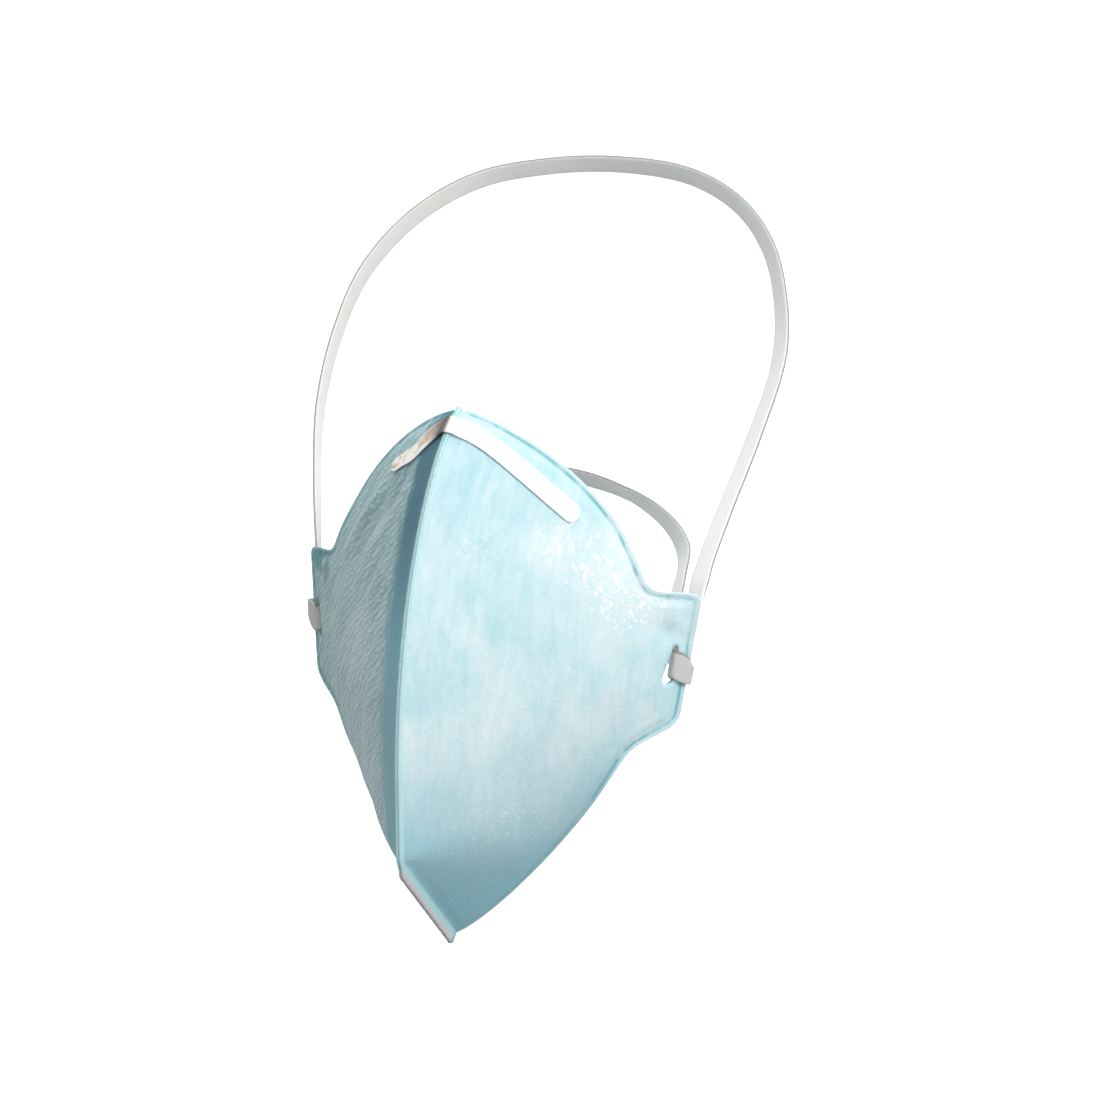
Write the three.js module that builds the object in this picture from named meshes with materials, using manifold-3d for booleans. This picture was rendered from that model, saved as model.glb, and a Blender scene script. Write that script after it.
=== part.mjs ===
// Disposable fold-flat respirator, opened out: two nonwoven cheek panels, a nose clip and one head strap.
// The origin is the centre of the face opening, midway between the strap tabs. X runs across the face,
// Y runs from the front ridge back through the face, and Z is up. Lengths are in millimetres.

import * as THREE from 'three';
import { mergeVertices } from 'three/addons/utils/BufferGeometryUtils.js';
import Module from 'manifold-3d';

const wasm = await Module();
wasm.setup();

// Shell: heights, reaches ahead of the origin, and half widths
const topHeight = 80; // nose tip above the origin
const chinDrop = 79.5; // chin tip below the origin
const ridgeReach = 71; // front ridge ahead of the origin
const noseReach = 27.5; // nose tip ahead of the origin
const chinReach = 35.5; // chin tip ahead of the origin
const cheekReach = 9; // sealing edge at the tabs, ahead of the origin
const cheekHalfWidth = 56.5; // half the face opening at the tabs
const cornerDrop = 43.5; // where the ridge turns into the chin weld, below the origin
const ridgeFullDrop = 20; // where the ridge reaches its full reach, below the origin

// Cloth
const wall = 2;
const rimWall = 1.2;
const rimWidth = 3.2;
const rimStep = 1.6; // width of the slope from the pressed rim up to the lofted cloth
const centreGap = 0.3; // between the two panels
const pieceGap = 0.3; // between any two other pieces

// Front seam and chin weld: each panel's leaf stands proud of its cloth
const leafThickness = 0.8;
const ridgeSeam = 0.7;
const chinSeam = 2.9;
const chinSeamRise = 3; // height over which the ridge seam grows to the chin weld's
const seamMiter = 1.3; // at the ridge the panels meet, so their outer faces lie this much further out

// Strap tab
const tabTop = 27; // root of the tab's top edge above the origin
const tabBottom = 20.5; // root of the tab's bottom edge below the origin
const tabOuter = 61.7; // tab's outer side from the middle plane, at the height of the origin
const tabTopFall = 0.15; // slopes of the tab's top, bottom and outer edges
const tabBottomRise = 0.57;
const tabSideFlare = 0.12;
const tabSlope = 0.75; // how far back the tab runs for each unit outwards
const tabLean = 0.06; // how far back it runs for each unit upwards
const tabFillet = 4;
const tabRound = 3.4;
const slotLength = 12;
const slotWidth = 3.8; // at its lower end
const slotTipWidth = 1.8; // at its upper end, where the strap pulls it shut
const slotHeight = 3.3; // slot centre above the origin
const slotInset = 6.4; // slot centre to the tab's outer side, along the cloth

// Nose clip
const clipWidth = 6;
const clipThickness = 0.9;
const clipRight = 47; // length each side of the ridge
const clipLeft = 30;
const clipDrop = 4.2; // centre line below the shell's top edge at the nose
const clipSettle = 4.8; // how much further below that edge it lies once it has settled
const clipRightSettled = 30; // where it has settled on each side, from the middle plane
const clipLeftSettled = 14;
const clipBendHalf = 2.6; // it lies on the cloth from this far out, and bends over the seam between

// Head strap: the reach and the tilt of the plane of each of its two loops
const strapWidth = 7.5;
const strapThickness = 1;
const strapRise = 0.2; // strap centre above the slot centre
const strapLean = 1.4; // how far it turns outwards behind the slot, towards the neck loop
const crownReach = 194;
const crownTilt = 38;
const neckReach = 103;
const neckTilt = 14;

// Creases in the cloth. Across is a share of the cheek half width, height a share of the top height above
// the origin and of the chin drop below it, and depth a share of the crease depth.
const creaseDepth = 1.3;
const creaseWidth = 3;
const creases = [
  { side: -1, startAcross: 0.2, startHeight: 0.78, endAcross: 0.62, endHeight: 0.4, depth: 1 },
  { side: -1, startAcross: 0.16, startHeight: 0.7, endAcross: 0.5, endHeight: 0.22, depth: 0.8 },
  { side: -1, startAcross: 0.3, startHeight: 0.42, endAcross: 0.78, endHeight: -0.02, depth: 0.6 },
  { side: -1, startAcross: 0.34, startHeight: 0.1, endAcross: 0.5, endHeight: -0.42, depth: 0.5 },
  { side: 1, startAcross: 0.42, startHeight: 0.2, endAcross: 0.4, endHeight: -0.2, depth: 0.45 },
  { side: 1, startAcross: 0.7, startHeight: 0.3, endAcross: 0.72, endHeight: -0.12, depth: 0.4 },
  { side: 1, startAcross: 0.12, startHeight: -0.5, endAcross: 0.34, endHeight: -0.72, depth: 0.6 },
];

// The strap's two loops, from the right tab round to the left one. Across is a share of the slot's distance
// from the middle plane, back a share of the loop's reach in its tilted plane, twist the roll in degrees.
const crownLoop = [
  { across: 0.97, back: 0.15, twist: 63 },
  { across: 0.96, back: 0.27, twist: 61 },
  { across: 0.97, back: 0.43, twist: 58 },
  { across: 0.95, back: 0.6, twist: 53 },
  { across: 0.84, back: 0.72, twist: 42 },
  { across: 0.64, back: 0.84, twist: 33 },
  { across: 0.36, back: 0.93, twist: 20 },
  { across: 0, back: 0.985, twist: 10 },
  { across: -0.44, back: 1, twist: 2 },
  { across: -0.88, back: 0.985, twist: 1 },
  { across: -1.3, back: 0.94, twist: 1 },
  { across: -1.59, back: 0.85, twist: 0 },
  { across: -1.75, back: 0.72, twist: 0 },
  { across: -1.75, back: 0.58, twist: 0 },
  { across: -1.64, back: 0.41, twist: 0 },
  { across: -1.44, back: 0.25, twist: 0 },
  { across: -1.24, back: 0.11, twist: 0 },
];
const neckLoop = [
  { across: 0.845, back: 0.19, twist: -46 },
  { across: 0.735, back: 0.41, twist: -40 },
  { across: 0.625, back: 0.61, twist: -32 },
  { across: 0.4, back: 0.78, twist: -3 },
  { across: 0.06, back: 0.92, twist: 22 },
  { across: -0.3, back: 0.99, twist: 20 },
  { across: -0.7, back: 0.98, twist: 16 },
  { across: -1.08, back: 0.86, twist: 12 },
  { across: -1.27, back: 0.66, twist: 10 },
  { across: -1.31, back: 0.45, twist: 6 },
  { across: -1.2, back: 0.25, twist: 0 },
];

// Curve of each line: the powers in the outline's width and depth, and in the ridge's reach
const topWidthPower = 0.71;
const bottomWidthPower = 0.82;
const bottomHeightPower = 1.3;
const topReachPower = 3.5;
const bottomReachPower = 1.2;
const ridgePower = 0.67;

// Facets
const edgeSteps = 15;
const cornerSteps = 4;
const tabSideSteps = 7;
const acrossSteps = 15;
const clipStride = 3; // length of clip to a facet
const wrapTurnSteps = 3;
const crownSteps = 56;
const neckSteps = 40;

const { lerp, smoothstep, degToRad, clamp } = THREE.MathUtils;
const vector = (x, y, z) => new THREE.Vector3(x, y, z);

// Turns a closed three.js geometry into a solid that can be joined and cut
function toSolid(geometry) {
  geometry.deleteAttribute('normal');
  geometry.deleteAttribute('uv');
  const merged = mergeVertices(geometry, 1e-4);
  return new wasm.Manifold(new wasm.Mesh({
    numProp: 3,
    vertProperties: Float32Array.from(merged.attributes.position.array),
    triVerts: Uint32Array.from(merged.index.array),
  }));
}

function toGeometry(solid) {
  const mesh = solid.getMesh();
  const geometry = new THREE.BufferGeometry();
  geometry.setAttribute('position', new THREE.BufferAttribute(mesh.vertProperties, 3));
  geometry.setIndex(new THREE.BufferAttribute(mesh.triVerts, 1));
  geometry.computeVertexNormals();
  return geometry;
}

// A closed geometry from vertices and triangles
function fromFaces(points, faces) {
  const geometry = new THREE.BufferGeometry().setFromPoints(points);
  geometry.setIndex(faces.flat());
  geometry.computeVertexNormals();
  return geometry;
}

// Shell form, for one side, with x measured outwards from the middle plane
const edgeHalfWidth = (z) => (z >= 0
  ? cheekHalfWidth * Math.max(0, 1 - (z / topHeight) ** 2) ** topWidthPower
  : cheekHalfWidth * Math.max(0, 1 - (-z / chinDrop) ** bottomHeightPower) ** bottomWidthPower);

const edgeReach = (z) => (z >= 0
  ? lerp(cheekReach, noseReach, (z / topHeight) ** topReachPower)
  : lerp(cheekReach, chinReach, (-z / chinDrop) ** bottomReachPower));

function ridgeReachAt(z) {
  const rise = clamp((z + ridgeFullDrop) / (topHeight + ridgeFullDrop), 0, 1);
  const upper = lerp(noseReach, ridgeReach, (1 - rise ** 2) ** ridgePower);
  const fall = clamp((-z - cornerDrop) / (chinDrop - cornerDrop), 0, 1);
  return upper - fall * (ridgeReach - chinReach);
}

// The smaller of two values, rounded where they cross
function smoothMin(a, b, reach) {
  const mix = Math.max(0, 1 - Math.abs(a - b) / reach);
  return Math.min(a, b) - reach * mix * mix / 4;
}

const sectionBulge = 0.25; // how much a level section swells past its chord
const rootSoftness = 3; // rounding where the tab leaves the cheek
const flangeFade = 0.02; // how soon the tab's plane leaves the shell above and below the tab

function depthAt(x, z) {
  const share = x / Math.max(edgeHalfWidth(z), 1);
  const section = share - sectionBulge * share * (1 - share);
  const cheek = lerp(-ridgeReachAt(z), -edgeReach(z), section);
  const past = Math.max(0, z - tabTop, -tabBottom - z);
  const tab = -cheekReach + tabSlope * (x - cheekHalfWidth) + tabLean * z + flangeFade * past ** 2;
  return smoothMin(cheek, tab, rootSoftness);
}

// Unit normal of the cloth, pointing out of the mask
function clothNormal(x, z) {
  const reach = 0.2;
  const slopeAcross = (depthAt(x + reach, z) - depthAt(x - reach, z)) / (2 * reach);
  const slopeUp = (depthAt(x, z + reach) - depthAt(x, z - reach)) / (2 * reach);
  return vector(slopeAcross, -1, slopeUp).normalize();
}

// How far the creases of one side press the cloth in at a point
function creaseAt(side, x, z) {
  let pressed = 0;
  for (const crease of creases) {
    if (crease.side !== side) continue;
    const place = (across, height) => new THREE.Vector2(
      across * cheekHalfWidth, height * (height > 0 ? topHeight : chinDrop));
    const start = place(crease.startAcross, crease.startHeight);
    const run = place(crease.endAcross, crease.endHeight).sub(start);
    const here = new THREE.Vector2(x, z).sub(start);
    const along = clamp(here.dot(run) / run.lengthSq(), 0, 1);
    const distance = here.distanceTo(run.clone().multiplyScalar(along));
    const fade = Math.sin(Math.PI * clamp(along, 0.04, 0.96));
    pressed += creaseDepth * crease.depth * fade * Math.exp(-((distance / creaseWidth) ** 2));
  }
  return pressed;
}

const clothPoint = (side, x, z) => vector(x, depthAt(x, z), z)
  .addScaledVector(clothNormal(x, z), -creaseAt(side, x, z));

// Outline of one panel from the nose tip over the tab to the chin tip, as x and z
const tipTrim = 0.4; // cut off the nose and chin tips
const tabSide = (z) => tabOuter + tabSideFlare * z;

function panelOutline() {
  const edge = (from, to) => Array.from({ length: edgeSteps + 1 }, (_, i) => {
    const angle = lerp(Math.asin(from), Math.asin(to), i / edgeSteps);
    const z = Math.sin(angle) * (from + to > 0 ? topHeight : chinDrop);
    return new THREE.Vector2(edgeHalfWidth(z), z);
  });
  const topLine = (x) => new THREE.Vector2(x, tabTop - tabTopFall * (x - edgeHalfWidth(tabTop)));
  const bottomLine = (x) => new THREE.Vector2(x, -tabBottom + tabBottomRise * (x - edgeHalfWidth(-tabBottom)));
  const corner = (from, at, to) => new THREE.QuadraticBezierCurve(from, at, to).getPoints(cornerSteps);

  const topEdge = edge(1 - tipTrim / topHeight, (tabTop + tabFillet) / topHeight);
  const bottomEdge = edge(-(tabBottom + tabFillet) / chinDrop, -1 + tipTrim / chinDrop);
  const topCorner = topLine(tabSide(tabTop));
  const bottomCorner = bottomLine(tabSide(-tabBottom) + 1);
  bottomCorner.x = tabSide(bottomCorner.y);
  const sideTop = topCorner.y - tabRound;
  const sideBottom = bottomCorner.y + tabRound;
  const side = Array.from({ length: tabSideSteps + 1 }, (_, i) => {
    const z = lerp(sideTop, sideBottom, i / tabSideSteps);
    return new THREE.Vector2(tabSide(z), z);
  });
  const points = [
    ...topEdge,
    ...corner(topEdge.at(-1), topLine(edgeHalfWidth(tabTop)), topLine(edgeHalfWidth(tabTop) + tabFillet)),
    ...corner(topLine(topCorner.x - tabRound), topCorner, side[0]),
    ...side,
    ...corner(side.at(-1), bottomCorner, bottomLine(bottomCorner.x - tabRound)),
    ...corner(bottomLine(edgeHalfWidth(-tabBottom) + tabFillet), bottomLine(edgeHalfWidth(-tabBottom)), bottomEdge[0]),
    ...bottomEdge,
  ];
  return points.filter((point, i) => i === 0 || point.distanceTo(points[i - 1]) > 0.05);
}

// Rows of x and z across one panel: each runs from just past the middle plane to a point of the outline
const overrun = 2;
const slantLength = 1.4; // a row's length over the cloth for each unit of its width
const outline = panelOutline();

function panelRows() {
  const lengths = [0];
  outline.slice(1).forEach((point, i) => lengths.push(lengths[i] + point.distanceTo(outline[i])));
  const [top, bottom] = [outline[0].y, outline.at(-1).y];
  const ridge = lengths.map((length) => lerp(top, bottom, length / lengths.at(-1)));
  const nearest = ridge.reduce((best, z, i) => (
    Math.abs(z + cornerDrop) < Math.abs(ridge[best] + cornerDrop) ? i : best), 0);
  ridge[nearest] = -cornerDrop;
  return outline.map((end, i) => {
    const rowLength = slantLength * end.x + overrun;
    const rimShare = Math.min((rimWidth + rimStep) / rowLength, 0.5);
    const shares = Array.from({ length: acrossSteps + 1 }, (_, j) => (1 - rimShare) * j / acrossSteps);
    shares.push(lerp(1 - rimShare, 1, rimStep / (rimWidth + rimStep)), 1);
    return shares.map((share) => new THREE.Vector2(
      lerp(-overrun, end.x, share), lerp(ridge[i], end.y, share ** 2)));
  });
}

// Thickness of the cloth: pressed thin along the outline
const outlinePoints = outline.map((point) => vector(point.x, depthAt(point.x, point.y), point.y));

function clothThickness(point) {
  const nearest = vector(0, 0, 0);
  let distance = Infinity;
  for (let i = 1; i < outlinePoints.length; i += 1) {
    new THREE.Line3(outlinePoints[i - 1], outlinePoints[i]).closestPointToPoint(point, true, nearest);
    distance = Math.min(distance, nearest.distanceTo(point));
  }
  return lerp(rimWall, wall, smoothstep(distance, rimWidth, rimWidth + rimStep));
}

// A closed wall between an outer and an inner grid of points
function wallBetween(outer, inner) {
  const [rows, columns] = [outer.length, outer[0].length];
  const outerAt = (i, j) => i * columns + j;
  const innerAt = (i, j) => rows * columns + i * columns + j;
  const faces = [];
  const quad = (a, b, c, d) => faces.push([a, b, c], [a, c, d]);
  for (let i = 0; i + 1 < rows; i += 1) {
    for (let j = 0; j + 1 < columns; j += 1) {
      quad(outerAt(i, j), outerAt(i + 1, j), outerAt(i + 1, j + 1), outerAt(i, j + 1));
      quad(innerAt(i, j), innerAt(i, j + 1), innerAt(i + 1, j + 1), innerAt(i + 1, j));
    }
    quad(outerAt(i + 1, 0), outerAt(i, 0), innerAt(i, 0), innerAt(i + 1, 0));
    quad(outerAt(i, columns - 1), outerAt(i + 1, columns - 1), innerAt(i + 1, columns - 1), innerAt(i, columns - 1));
  }
  for (let j = 0; j + 1 < columns; j += 1) {
    quad(outerAt(0, j), outerAt(0, j + 1), innerAt(0, j + 1), innerAt(0, j));
    quad(outerAt(rows - 1, j + 1), outerAt(rows - 1, j), innerAt(rows - 1, j), innerAt(rows - 1, j + 1));
  }
  return fromFaces([...outer.flat(), ...inner.flat()], faces);
}

function clothWall(side) {
  const offset = (direction) => panelRows().map((row) => row.map(({ x, y: z }) => {
    const point = clothPoint(side, x, z);
    return point.addScaledVector(clothNormal(x, z), direction * clothThickness(point) / 2);
  }));
  return wallBetween(offset(1), offset(-1));
}

// Everything on the wrong side of the middle plane
function middleCut() {
  const size = 4 * topHeight;
  return new THREE.BoxGeometry(size, size, size).translate(centreGap / 2 - size / 2, 0, 0);
}

// Direction straight out from the ridge in the middle plane, and how far the seam stands out along it
function ridgeNormal(z) {
  const reach = 0.5;
  const slope = (ridgeReachAt(z + reach) - ridgeReachAt(z - reach)) / (2 * reach);
  return vector(0, -1, -slope).normalize();
}

const seamStand = (z) => seamMiter * wall / 2
  + lerp(ridgeSeam, chinSeam, smoothstep(-z, cornerDrop, cornerDrop + chinSeamRise));

// One leaf of the front seam and the chin weld, standing out from the ridge
function seamLeaf() {
  const [top, bottom] = [outline[0].y, outline.at(-1).y];
  const heights = Array.from({ length: edgeSteps + 1 }, (_, i) => lerp(top, -cornerDrop, (i / edgeSteps) ** 1.5));
  heights.push(-cornerDrop - chinSeamRise, bottom);
  const inner = heights.map((z) => new THREE.Vector2(-ridgeReachAt(z), z));
  const outer = heights.map((z, i) => {
    const out = ridgeNormal(z);
    return new THREE.Vector2(out.y, out.z).multiplyScalar(seamStand(z)).add(inner[i]);
  });
  const leaf = new THREE.ExtrudeGeometry(
    new THREE.Shape([...outer, ...inner.reverse()]), { depth: leafThickness, bevelEnabled: false });
  const upright = new THREE.Matrix4().makeBasis(vector(0, 1, 0), vector(0, 0, 1), vector(1, 0, 0));
  return leaf.applyMatrix4(upright).translate(centreGap / 2, 0, 0);
}

// Frame of the strap tab: along runs outwards over the cloth, rise runs up beside the tab's outer edge,
// and ahead points out of the mask
const tabFrame = (() => {
  const ahead = vector(tabSlope, -1, tabLean).normalize();
  const rise = vector(tabSideFlare, 0, 1);
  rise.y = tabLean + tabSlope * tabSideFlare;
  rise.normalize();
  const along = rise.clone().cross(ahead);
  const edgeX = tabSide(slotHeight);
  const edge = vector(edgeX, -cheekReach + tabSlope * (edgeX - cheekHalfWidth) + tabLean * slotHeight, slotHeight);
  return { along, rise, ahead, slot: edge.addScaledVector(along, -slotInset) };
})();

const tabPoint = (along, ahead, rise) => tabFrame.slot.clone()
  .addScaledVector(tabFrame.along, along)
  .addScaledVector(tabFrame.ahead, ahead)
  .addScaledVector(tabFrame.rise, rise);

// The strap's slot, straight on its outer side and slanted on its inner one
function slotCutter() {
  const round = slotWidth / 2;
  const tipRound = slotTipWidth / 2;
  const shape = new THREE.Shape();
  shape.absarc(round - tipRound, slotLength / 2 - tipRound, tipRound, 0, Math.PI);
  shape.absarc(0, round - slotLength / 2, round, Math.PI, 2 * Math.PI);
  const reachThrough = 3 * wall;
  const cutter = new THREE.ExtrudeGeometry(shape, { depth: 2 * reachThrough, bevelEnabled: false, curveSegments: 8 });
  cutter.translate(0, 0, -reachThrough);
  const { along, rise, ahead, slot } = tabFrame;
  return cutter.applyMatrix4(new THREE.Matrix4().makeBasis(along, rise, ahead).setPosition(slot));
}

function mirrored(geometry) {
  const mirror = geometry.clone().applyMatrix4(new THREE.Matrix4().makeScale(-1, 1, 1));
  const index = mirror.index.array;
  for (let i = 0; i < index.length; i += 3) [index[i], index[i + 1]] = [index[i + 1], index[i]];
  mirror.computeVertexNormals();
  return mirror;
}

function panel(side) {
  const solid = toSolid(clothWall(side))
    .subtract(toSolid(middleCut()))
    .add(toSolid(seamLeaf()))
    .subtract(toSolid(slotCutter()));
  return side > 0 ? toGeometry(solid) : mirrored(toGeometry(solid));
}

// A closed flat band along a route. Each station has a point, the direction of its width and its half width.
function band(stations, thickness, closed) {
  const count = stations.length;
  const rings = stations.map(({ point, width, half }, i) => {
    const before = stations[closed ? (i + count - 1) % count : Math.max(i - 1, 0)].point;
    const after = stations[closed ? (i + 1) % count : Math.min(i + 1, count - 1)].point;
    const tangent = after.clone().sub(before).normalize();
    const across = width.clone().addScaledVector(tangent, -width.dot(tangent)).normalize();
    const face = tangent.clone().cross(across);
    return [[1, 1], [-1, 1], [-1, -1], [1, -1]].map(([wide, thick]) => point.clone()
      .addScaledVector(across, wide * half)
      .addScaledVector(face, thick * thickness / 2));
  });
  const faces = [];
  const quad = (a, b, c, d) => faces.push([a, b, c], [a, c, d]);
  const last = closed ? count : count - 1;
  for (let i = 0; i < last; i += 1) {
    const here = 4 * i;
    const next = 4 * ((i + 1) % count);
    for (let k = 0; k < 4; k += 1) {
      const turn = (k + 1) % 4;
      quad(here + k, here + turn, next + turn, next + k);
    }
  }
  if (!closed) {
    quad(3, 2, 1, 0);
    const end = 4 * (count - 1);
    quad(end, end + 1, end + 2, end + 3);
  }
  return fromFaces(rings.flat(), faces);
}

// Nose clip: a strip bent over the ridge just below the shell's top edge, with round ends
function noseClip() {
  const lift = wall / 2 + pieceGap + clipThickness / 2;
  const edgeHeight = (x) => topHeight * Math.sqrt(1 - (x / cheekHalfWidth) ** (1 / topWidthPower));
  const onShell = (side, out) => {
    const settled = side > 0 ? clipRightSettled : clipLeftSettled;
    const z = edgeHeight(out) - clipDrop - clipSettle * smoothstep(out, 0, settled);
    const normal = clothNormal(out, z);
    const point = clothPoint(side, out, z).addScaledVector(normal, lift);
    return { point: point.setX(side * point.x), normal: normal.setX(side * normal.x) };
  };
  const seamHalf = centreGap / 2 + leafThickness + pieceGap;
  const bendHeight = edgeHeight(0) - clipDrop;
  const ridgeOut = ridgeNormal(bendHeight);
  const bend = [-seamHalf, 0, seamHalf].map((x) => ({
    point: vector(x, -ridgeReachAt(bendHeight), bendHeight)
      .addScaledVector(ridgeOut, seamStand(bendHeight) + pieceGap + clipThickness / 2),
    normal: ridgeOut.clone(),
  }));
  const walk = (side, length) => {
    const stations = [];
    const stride = 0.5;
    let [out, gone] = [clipBendHalf, 0];
    let from = bend[1].point;
    while (gone < length) {
      const station = onShell(side, out);
      gone += station.point.distanceTo(from);
      from = station.point;
      if (gone < length) stations.push(station);
      out += stride;
    }
    const steps = Math.round(length / clipStride);
    return Array.from({ length: steps }, (_, i) => stations[Math.round((i * (stations.length - 1)) / (steps - 1))]);
  };
  const route = [...walk(-1, clipLeft).reverse(), ...bend, ...walk(1, clipRight)];
  const lengths = [0];
  route.slice(1).forEach(({ point }, i) => lengths.push(lengths[i] + point.distanceTo(route[i].point)));
  const half = clipWidth / 2;
  const stations = [];
  const roundAt = (distance) => half * Math.sqrt(Math.max(0.05, 1 - (1 - Math.min(distance / half, 1)) ** 2));
  route.forEach(({ point, normal }, i) => {
    const before = route[Math.max(i - 1, 0)].point;
    const after = route[Math.min(i + 1, route.length - 1)].point;
    const width = normal.clone().cross(after.clone().sub(before)).normalize();
    const fromEnd = Math.min(lengths[i], lengths.at(-1) - lengths[i]);
    stations.push({ point, width, half: roundAt(fromEnd) });
  });
  return band(stations, clipThickness, false);
}

// Head strap: through the right slot, over the tab's front and round its outer edge into the crown loop,
// then the same way back through the left tab into the neck loop
function headStrap() {
  const bendRadius = strapThickness / 2 + pieceGap;
  const inner = slotWidth / 2; // the slot's outer side, where the strap turns
  const outer = slotInset; // the tab's outer edge
  const face = wall / 2;
  const turn = (along, from, to) => Array.from({ length: wrapTurnSteps + 1 }, (_, i) => {
    const angle = degToRad(lerp(from, to, i / wrapTurnSteps));
    return [along + bendRadius * Math.cos(angle), face + bendRadius * Math.sin(angle)];
  });
  const wrap = [
    [inner - bendRadius + strapLean, -3.6 * face],
    [inner - bendRadius, -1.4 * face],
    ...turn(inner, 180, 90),
    ...turn(outer, 90, 0),
    [outer + bendRadius, -face],
    [outer + bendRadius, -3 * face],
  ];
  const wrapStations = wrap.map(([along, ahead]) => ({
    point: tabPoint(along, ahead, strapRise), width: tabFrame.rise.clone() }));
  const mirror = (v) => vector(-v.x, v.y, v.z);
  const leftStations = wrapStations.map(({ point, width }) => ({ point: mirror(point), width: mirror(width) })).reverse();

  const loop = (rows, from, to, reach, tilt, steps) => {
    const angle = degToRad(tilt);
    const middle = from[1].point.clone().add(to[0].point).multiplyScalar(0.5);
    const span = tabFrame.slot.x;
    const points = rows.map(({ across, back }) => middle.clone().add(
      vector(across * span, back * reach * Math.cos(angle), back * reach * Math.sin(angle))));
    const route = [from[0].point, from[1].point, ...points, to[0].point, to[1].point];
    const curve = new THREE.CatmullRomCurve3(route, false, 'centripetal');
    const turns = [0, 0, ...rows.map(({ twist }) => twist), 0, 0];
    const last = route.length - 1;
    const stations = [];
    for (let i = 1; i < steps; i += 1) {
      const share = lerp(1, last - 1, i / steps) / last;
      const row = share * last;
      const twist = degToRad(lerp(turns[Math.floor(row)], turns[Math.ceil(row)], row % 1));
      const point = curve.getPoint(share);
      const tangent = curve.getTangent(share);
      const settled = Math.min(1, 3 * Math.sin((Math.PI * i) / steps)) * angle;
      const width = vector(0, -Math.sin(settled), Math.cos(settled));
      width.addScaledVector(tangent, -width.dot(tangent)).normalize();
      stations.push({ point, width: width.applyAxisAngle(tangent, twist) });
    }
    return stations;
  };
  const crown = loop(crownLoop, wrapStations.slice(-2), leftStations.slice(0, 2), crownReach, crownTilt, crownSteps);
  const neck = loop([...neckLoop].reverse(), leftStations.slice(-2), wrapStations.slice(0, 2),
    neckReach, neckTilt, neckSteps);
  const route = [...wrapStations, ...crown, ...leftStations, ...neck];
  return band(route.map((station) => ({ ...station, half: strapWidth / 2 })), strapThickness, true);
}

const nonwoven = new THREE.MeshStandardMaterial({ color: '#b9e0e8', roughness: 0.85, metalness: 0 });
const shadedNonwoven = new THREE.MeshStandardMaterial({ color: '#a9d3dc', roughness: 0.85, metalness: 0 });
const aluminium = new THREE.MeshStandardMaterial({ color: '#e9e9e6', roughness: 0.35, metalness: 1 });
const elastic = new THREE.MeshStandardMaterial({ color: '#ecebe6', roughness: 0.6, metalness: 0 });

function piece(name, geometry, material) {
  const mesh = new THREE.Mesh(geometry, material);
  mesh.name = name;
  return mesh;
}

const respirator = new THREE.Group();
respirator.add(
  piece('panel_right', panel(1), nonwoven),
  piece('panel_left', panel(-1), shadedNonwoven),
  piece('nose_clip', noseClip(), aluminium),
  piece('head_strap', headStrap(), elastic),
);

export default respirator;
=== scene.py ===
import math

import bmesh
import bpy
from mathutils import Matrix, Vector, kdtree, noise


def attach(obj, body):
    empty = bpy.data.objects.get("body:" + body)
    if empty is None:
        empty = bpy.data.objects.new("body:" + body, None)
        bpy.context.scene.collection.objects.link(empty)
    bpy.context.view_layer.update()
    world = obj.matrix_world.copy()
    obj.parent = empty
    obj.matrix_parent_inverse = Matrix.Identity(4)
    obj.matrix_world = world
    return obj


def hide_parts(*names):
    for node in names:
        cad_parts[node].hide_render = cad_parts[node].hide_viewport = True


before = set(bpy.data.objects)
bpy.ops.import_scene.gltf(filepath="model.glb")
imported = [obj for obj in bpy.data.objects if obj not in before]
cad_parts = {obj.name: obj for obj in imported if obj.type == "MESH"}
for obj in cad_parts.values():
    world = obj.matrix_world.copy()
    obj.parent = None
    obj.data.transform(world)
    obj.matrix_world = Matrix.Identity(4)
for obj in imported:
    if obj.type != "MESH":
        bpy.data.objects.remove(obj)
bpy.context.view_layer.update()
mm = 0.001  # the dictionaries below give lengths in millimetres

# Camera, floor and lights

cameraView = {
    "azimuth": 24,
    "elevation": 16,
    "distance": 1000,
    "aim": (9.44, 13.07, 28.25),
    "lens": 108,
    "clipEnd": 100000,
}
floorPlan = {"height": -300, "size": 40000, "backdrop": 19000, "colour": "#ffffff", "glow": 0.75}
worldLight = {"colour": "#eef4f8", "strength": 0.25}
# Disk lamps that all aim at the camera's aim, with their power in watts
lights = [
    {"name": "keyLight", "azimuth": 64, "elevation": 32, "distance": 1900,
     "size": 800, "power": 26, "colour": "#fffcf8"},
    {"name": "frontLight", "azimuth": 5, "elevation": 62, "distance": 2200,
     "size": 1200, "power": 11, "colour": "#ffffff"},
    {"name": "fillLight", "azimuth": -75, "elevation": 30, "distance": 2200,
     "size": 1500, "power": 8, "colour": "#f6fbff"},
    {"name": "backLight", "azimuth": -170, "elevation": 66, "distance": 2200,
     "size": 1500, "power": 34, "colour": "#ffffff"},
    {"name": "lowLight", "azimuth": 20, "elevation": -12, "distance": 2200,
     "size": 1500, "power": 6, "colour": "#ffffff"},
]


def linear(hexColour):
    channels = [int(hexColour[i:i + 2], 16) / 255 for i in (1, 3, 5)]
    return [c / 12.92 if c <= 0.04045 else ((c + 0.055) / 1.055) ** 2.4 for c in channels] + [1.0]


def direction(azimuth, elevation):
    turn, lift = math.radians(azimuth), math.radians(elevation)
    return Vector((math.sin(turn) * math.cos(lift), -math.cos(turn) * math.cos(lift), math.sin(lift)))


def addObject(name, data):
    thing = bpy.data.objects.new(name, data)
    bpy.context.scene.collection.objects.link(thing)
    return thing


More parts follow.
